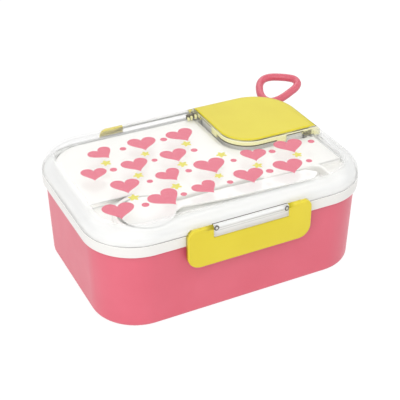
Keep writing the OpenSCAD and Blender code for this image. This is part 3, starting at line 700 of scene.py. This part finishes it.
# The catch in mm: its front, its foot, the fins (left side, top) and the dark plate behind them, a
# sheet of painted shade in the gaps
CATCH_Y = 60.6
CATCH_Z = 73.3
CATCH_SOFT = 0.25
FINS = ((20.5, 75.6), (23.0, 76.4), (26.6, 76.9))
FIN_T = 1.5
FIN_L = 2.1
BACK_X = (20.5, 28.3)
BACK_TOP = 77.0
BACK_T = 2.2


def catch_block(name, left, right, top, start, end, finish):
    """One block of the catch, which stands on the lid."""
    outline = ((left, CATCH_Z), (right, CATCH_Z), (right, top), (left, top))
    block = upright_plate(name, outline, start, end, CATCH_SOFT)
    shown(name, block, finish, "lid")


# The dark plate behind the fins is painted shade: it stands for the shadowed gaps between them
back_y = CATCH_Y + BACK_T
catch_block("catch_back", *BACK_X, BACK_TOP, back_y, back_y + BACK_T, SHADED_GAP)
for k, (left, top) in enumerate(FINS):
    catch_block("catch_fin_%d" % k, left, left + FIN_T, top, CATCH_Y, CATCH_Y + FIN_L, CATCH_CREAM)

# ---- Carry loop -------------------------------------------------------------------------

LOOP_PIN = PIN_OF["loop_swing"]
# How far the loop points up at rest
LOOP_TILT = math.radians(12)
CORD_R = 3.15 * MM
# The eye: its bore, its outside, its length and its soft rims
EYE_BORE_R = 1.3 * MM
EYE_R = 3.5 * MM
EYE_L = 6.9 * MM
EYE_SOFT = 0.5 * MM
# Size of the cubes that melt the cord, the neck and the eye into one
MELT_SIZE = 0.4 * MM
# The centre lines of the neck and the cord in the loop's own plane, outwards and sideways from
# its pin, in mm
NECK_LINE = ((1.9, 0), (5.0, 0.6), (9.4, 2.6))
CORD_LINE = (
    (8.6, 0.8),
    (9.8, 6.6),
    (15.2, 11.5),
    (22.6, 14.8),
    (30.2, 16.3),
    (36.6, 14.7),
    (40.4, 10.0),
    (42.0, 3.6),
    (42.8, -3.4),
    (42.0, -9.9),
    (37.4, -14.0),
    (31.0, -13.9),
    (24.1, -11.0),
    (18.0, -8.0),
    (12.4, -4.2),
)


def curve_through(points, closed, steps=8):
    """A smooth Catmull-Rom line through the points."""
    count = len(points)
    line = []
    for index in range(count if closed else count - 1):
        four = [
            Vector(points[(index + k) % count] if closed else points[min(max(index + k, 0), count - 1)])
            for k in (-1, 0, 1, 2)
        ]
        for step in range(steps):
            t = step / steps
            line.append(
                0.5
                * (
                    2 * four[1]
                    + (four[2] - four[0]) * t
                    + (2 * four[0] - 5 * four[1] + 4 * four[2] - four[3]) * t**2
                    + (3 * four[1] - four[0] - 3 * four[2] + four[3]) * t**3
                )
            )
    if not closed:
        line.append(Vector(points[-1]))
    return line


def add_cord(shell, line, radius, up, closed, sides=20):
    """A round cord along a line that lies in the plane across up."""
    rings = []
    for index, place in enumerate(line):
        before = line[index - 1] if closed or index else place
        after = line[(index + 1) % len(line)] if closed or index < len(line) - 1 else place
        across = (after - before).normalized().cross(up)
        rings.append(
            [
                shell.verts.new(
                    place
                    + across * radius * math.cos(2 * math.pi * k / sides)
                    + up * radius * math.sin(2 * math.pi * k / sides)
                )
                for k in range(sides)
            ]
        )
    pairs = list(zip(rings, rings[1:] + rings[:1])) if closed else list(zip(rings, rings[1:]))
    for ring, following in pairs:
        for k in range(sides):
            n = (k + 1) % sides
            shell.faces.new((ring[k], ring[n], following[n], following[k]))
    if not closed:
        shell.faces.new(rings[0])
        shell.faces.new(rings[-1])


def add_eye(shell, centre, axis, inner, outer, length, sides=40):
    """A round eye with a bore along its axis and softened rims."""
    half = length / 2
    profile = (
        (inner, -half),
        (outer - EYE_SOFT, -half),
        (outer, -half + EYE_SOFT),
        (outer, half - EYE_SOFT),
        (outer - EYE_SOFT, half),
        (inner, half),
    )
    first = axis.orthogonal().normalized()
    second = axis.cross(first)
    rings = []
    for k in range(sides):
        turn = 2 * math.pi * k / sides
        spoke = first * math.cos(turn) + second * math.sin(turn)
        rings.append([shell.verts.new(centre + spoke * r + axis * a) for r, a in profile])
    for ring, following in zip(rings, rings[1:] + rings[:1]):
        for k in range(len(profile)):
            n = (k + 1) % len(profile)
            shell.faces.new((ring[k], ring[n], following[n], following[k]))


def silicone_loop():
    """The loop: one cord moulded on to a short neck and the eye that turns on its pin."""
    out = Vector((math.cos(LOOP_TILT), math.cos(LOOP_TILT), math.sqrt(2) * math.sin(LOOP_TILT)))
    out.normalize()
    side = Vector((-1, 1, 0)).normalized()
    up = out.cross(side)
    shell = bmesh.new()

    def line(points, closed):
        return [
            LOOP_PIN + out * p.x * MM + side * p.y * MM
            for p in curve_through([(x, y, 0) for x, y in points], closed)
        ]

    add_cord(shell, line(CORD_LINE, True), CORD_R, up, closed=True)
    add_cord(shell, line(NECK_LINE, False), CORD_R, up, closed=False)
    add_eye(shell, LOOP_PIN, side, EYE_BORE_R, EYE_R, EYE_L)
    bmesh.ops.recalc_face_normals(shell, faces=shell.faces)
    shape = linked("silicone_loop", mesh_of("silicone_loop", shell))
    melt = shape.modifiers.new("melt", "REMESH")
    melt.mode = "VOXEL"
    melt.voxel_size = MELT_SIZE
    melt.use_smooth_shade = True
    ease = shape.modifiers.new("ease", "SMOOTH")
    ease.factor = 0.5
    ease.iterations = 6
    piece = shown("silicone_loop", settled(shape), LOOP_SILICONE, "loop")
    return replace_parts(piece, "carry_loop")


silicone_loop()

# ---- Print under the lid ----------------------------------------------------------------

PRINT_T = 0.05 * MM
# How far the ink reaches into the lid, so that no gap shows
PRINT_SINK = 0.01 * MM
PRINT_Z = LID_Z - LID_T - PRINT_T + PRINT_SINK
# How far the motifs' middles keep from the flap
CLEAR_X = 13 * MM
CLEAR_Y = 12 * MM
# How much each motif's place, turn and size vary
NUDGE_X = 2 * MM
NUDGE_Y = 1.5 * MM
TURN = 0.35
SMALLEST = 0.86
LARGEST = 1.1


def heart_outline(width, count=40):
    """The outline of a plump heart, point down."""
    span = 34
    rise = 2.5
    points = []
    for step in range(count):
        turn = 2 * math.pi * step / count
        x = 16 * math.sin(turn) ** 3
        y = 13 * math.cos(turn) - 5 * math.cos(2 * turn) - 2 * math.cos(3 * turn) - math.cos(4 * turn)
        points.append((x * width / span, (y + rise) * width / span))
    return points


def star_outline(width, depth=0.22, count=60):
    """The outline of a soft five-point star; without depth it is a round dot."""
    points = []
    for step in range(count):
        turn = 2 * math.pi * step / count
        reach = width / 2 * (1 - depth + depth * math.cos(5 * turn))
        points.append((reach * math.sin(turn), reach * math.cos(turn)))
    return points


def printed_motif(name, outline):
    """A thin closed plate with the given outline, about its own centre."""
    low, high = ([(x, y, height) for x, y in outline] for height in (0.0, PRINT_T))
    plate = plate_shell(low, high)
    bmesh.ops.recalc_face_normals(plate, faces=plate.faces)
    return bpy.data.objects.new(name, mesh_of(name, plate))


class Tree:
    """A geometry node tree under construction."""

    # For each type of random value: its sockets for the lowest and highest, and its output
    RANDOM = {"FLOAT_VECTOR": (0, 1, 0), "FLOAT": (2, 3, 1)}

    def __init__(self, name, inputs):
        self.group = bpy.data.node_groups.new(name, "GeometryNodeTree")
        self.group.interface.new_socket("Geometry", in_out="OUTPUT", socket_type="NodeSocketGeometry")
        self.sockets = {
            key: self.group.interface.new_socket(key, in_out="INPUT", socket_type=kind)
            for key, kind in inputs.items()
        }
        self.inlet = self.group.nodes.new("NodeGroupInput")
        self.outlet = self.group.nodes.new("NodeGroupOutput")

    def given(self, key):
        """What the tree's input of that name holds."""
        return self.inlet.outputs[key]

    def node(self, kind, settings=None, sockets=None, out=0):
        """Adds a node: its settings first, then the values or links of its sockets."""
        made = self.group.nodes.new(kind)
        for key, value in (settings or {}).items():
            setattr(made, key, value)
        for place, value in (sockets or {}).items():
            if isinstance(value, bpy.types.NodeSocket):
                self.group.links.new(value, made.inputs[place])
            else:
                made.inputs[place].default_value = value
        return made.outputs[out]

    def math_node(self, operation, *values, kind="ShaderNodeMath"):
        """The result of one operation on the values."""
        return self.node(kind, {"operation": operation}, dict(enumerate(values)))

    def random(self, kind, lowest, highest):
        """A value for each point, by chance but the same each time, from the input Seed."""
        low_socket, high_socket, out = self.RANDOM[kind]
        sockets = {low_socket: lowest, high_socket: highest, "Seed": self.given("Seed")}
        return self.node("FunctionNodeRandomValue", {"data_type": kind}, sockets, out)

    def build(self, name, geometry, values):
        """The mesh that the tree makes with those values."""
        self.group.links.new(geometry, self.outlet.inputs[0])
        holder = linked(name, bpy.data.meshes.new(name))
        modifier = holder.modifiers.new(name, "NODES")
        modifier.node_group = self.group
        for key, value in values.items():
            modifier[self.sockets[key].identifier] = value
        return settled(holder)


PRINT_INPUTS = {
    "Motif": "NodeSocketObject",
    "Finish": "NodeSocketMaterial",
    "Seed": "NodeSocketInt",
    "Columns": "NodeSocketInt",
    "Rows": "NodeSocketInt",
    "Length": "NodeSocketFloat",
    "Width": "NodeSocketFloat",
    "Stagger": "NodeSocketFloat",
    "Shift": "NodeSocketVector",
    "Flap X": "NodeSocketFloat",
    "Flap Y": "NodeSocketFloat",
}


def staggered_points(tree):
    """A grid of points, with every second row pushed aside and each point nudged a little."""
    grid = tree.node(
        "GeometryNodeMeshGrid",
        sockets={
            "Size X": tree.given("Length"),
            "Size Y": tree.given("Width"),
            "Vertices X": tree.given("Columns"),
            "Vertices Y": tree.given("Rows"),
        },
    )
    row = tree.math_node("MODULO", tree.node("GeometryNodeInputIndex"), tree.given("Rows"))
    aside = tree.math_node("MULTIPLY", tree.math_node("MODULO", row, 2.0), tree.given("Stagger"))
    offset = tree.node("ShaderNodeCombineXYZ", sockets={"X": aside})
    nudge = tree.random("FLOAT_VECTOR", (-NUDGE_X, -NUDGE_Y, 0), (NUDGE_X, NUDGE_Y, 0))
    for more in (tree.given("Shift"), nudge):
        offset = tree.math_node("ADD", offset, more, kind="ShaderNodeVectorMath")
    return tree.node("GeometryNodeSetPosition", sockets={"Geometry": grid, "Offset": offset})


def clear_of_flap(tree, points):
    """The points that don't lie under the flap."""
    place = tree.node("GeometryNodeInputPosition")
    past = []
    for axis in "XY":
        reach = tree.node("ShaderNodeSeparateXYZ", sockets={0: place}, out=axis)
        sockets = {"A": reach, "B": tree.given("Flap " + axis)}
        past.append(tree.node("FunctionNodeCompare", {"operation": "GREATER_THAN"}, sockets))
    under_flap = tree.math_node("AND", *past, kind="FunctionNodeBooleanMath")
    sockets = {"Geometry": points, "Selection": under_flap}
    return tree.node("GeometryNodeDeleteGeometry", {"domain": "POINT"}, sockets)


def turned_motifs(tree, points):
    """The motif on each point, turned and sized a little by chance, in its finish."""
    spread = tree.node(
        "GeometryNodeInstanceOnPoints",
        sockets={
            "Points": points,
            "Instance": tree.node(
                "GeometryNodeObjectInfo", sockets={"Object": tree.given("Motif")}, out="Geometry"
            ),
            "Rotation": tree.random("FLOAT_VECTOR", (0, 0, -TURN), (0, 0, TURN)),
            "Scale": tree.random("FLOAT", SMALLEST, LARGEST),
        },
    )
    real = tree.node("GeometryNodeRealizeInstances", sockets={"Geometry": spread})
    sockets = {"Geometry": real, "Material": tree.given("Finish")}
    return tree.node("GeometryNodeSetMaterial", sockets=sockets)


def scattered_print(name, motif, finish, seed, columns, rows, size, shift):
    """Motifs on a staggered grid under the lid's top, clear of the flap, each turned a little."""
    tree = Tree(name + "_tree", PRINT_INPUTS)
    mesh = tree.build(
        name,
        turned_motifs(tree, clear_of_flap(tree, staggered_points(tree))),
        {
            "Motif": motif,
            "Finish": finish,
            "Seed": seed,
            "Columns": columns,
            "Rows": rows,
            "Length": size[0],
            "Width": size[1],
            "Stagger": size[0] / (columns - 1) / 2,
            "Shift": (*shift, PRINT_Z),
            "Flap X": FLAP_X - CLEAR_X,
            "Flap Y": FLAP_Y - CLEAR_Y,
        },
    )
    bpy.data.objects.remove(motif)
    return shown(name, mesh, finish, "lid")


scattered_print(
    "print_hearts",
    printed_motif("heart", heart_outline(22.5 * MM)),
    PRINT_PINK,
    seed=7,
    columns=5,
    rows=4,
    size=(130 * MM, 76 * MM),
    shift=(-14 * MM, -3 * MM),
)
scattered_print(
    "print_dots",
    printed_motif("dot", star_outline(5 * MM, depth=0.0, count=24)),
    PRINT_PINK,
    seed=12,
    columns=5,
    rows=4,
    size=(130 * MM, 76 * MM),
    shift=(2.5 * MM, -3 * MM),
)
scattered_print(
    "print_stars",
    printed_motif("star", star_outline(7.5 * MM)),
    PRINT_YELLOW,
    seed=3,
    columns=5,
    rows=3,
    size=(130 * MM, 50 * MM),
    shift=(0.5 * MM, -3.9 * MM),
)

# ---- Stage, light and camera ------------------------------------------------------------

TABLE_REACH = 3.0
TABLE_GLOW = 1.14
WORLD_SOFT = 0.56
# Each lamp's place, what it points at, its width and height, and its power
LAMPS = {
    "key": ((-0.55, -0.75, 1.15), (0, 0, 0.03), (0.9, 0.9), 7.0),
    "fill": ((0.95, -0.55, 0.75), (0, 0, 0.03), (0.9, 0.9), 2.55),
    "low": ((-1.1, -0.75, 0.32), (0, 0, 0.03), (0.8, 0.5), 3.6),
    "rear": ((0.35, 1.0, 0.95), (0, 0, 0.05), (1.0, 0.7), 3.2),
    "top": ((0, 0.1, 1.3), (0, 0, 0.05), (1.2, 0.9), 0.3),
}
# Where the camera stands and looks, and its lens and sensor in its own millimetres
EYE = (-0.27327, -0.54912, 0.43116)
TARGET = (0.00092, 0.00080, 0.04029)
LENS = 88.4
SENSOR = 36


def stage_floor():
    """A plain pale table that shows white to the camera and keeps the object's shadow."""
    grid = bmesh.new()
    bmesh.ops.create_grid(grid, x_segments=2, y_segments=2, size=TABLE_REACH)
    table = linked("table_top", mesh_of("table_top", grid))
    finish = new_finish("table_white")
    plain = finish.node("ShaderNodeBsdfDiffuse", sockets={"Color": (0.80, 0.80, 0.80, 1)})
    glow = finish.node("ShaderNodeEmission", sockets={"Color": WHITE, "Strength": TABLE_GLOW})
    mixed = finish.mixed(finish.rays(*SEEN_LIGHT) * 0.8, plain, glow)
    table.data.materials.append(finish.done(mixed))


def studio_world():
    """Soft even surroundings, plain white where the camera sees them."""
    world = bpy.data.worlds.new("studio")
    bpy.context.scene.world = world
    finish = Finish(world)
    soft, white = (
        finish.node("ShaderNodeBackground", sockets={"Color": WHITE, "Strength": strength})
        for strength in (WORLD_SOFT, 1.0)
    )
    mixed = finish.mixed(finish.rays(*SEEN_LIGHT), soft, white)
    finish.node("ShaderNodeOutputWorld", sockets={"Surface": mixed})


def aimed(name, data, place, aim):
    """A lamp or a camera at a place, pointing at another."""
    holder = linked(name, data)
    holder.location = place
    holder.rotation_euler = (Vector(aim) - Vector(place)).to_track_quat("-Z", "Y").to_euler()
    return holder


def softbox(name, place, aim, size, power):
    """A rectangular area lamp that points at aim."""
    lamp = bpy.data.lights.new(name, "AREA")
    lamp.shape = "RECTANGLE"
    lamp.size, lamp.size_y = size
    lamp.energy = power
    aimed(name, lamp, place, aim)


def studio_camera():
    """A long lens that looks down on the front left corner."""
    lens = bpy.data.cameras.new("camera")
    lens.lens = LENS
    lens.sensor_width = SENSOR
    lens.clip_start = 0.01
    bpy.context.scene.camera = aimed("camera", lens, EYE, TARGET)


stage_floor()
studio_world()
for lamp_name, setting in LAMPS.items():
    softbox(lamp_name, *setting)
studio_camera()
bpy.context.scene.view_settings.view_transform = "Standard"
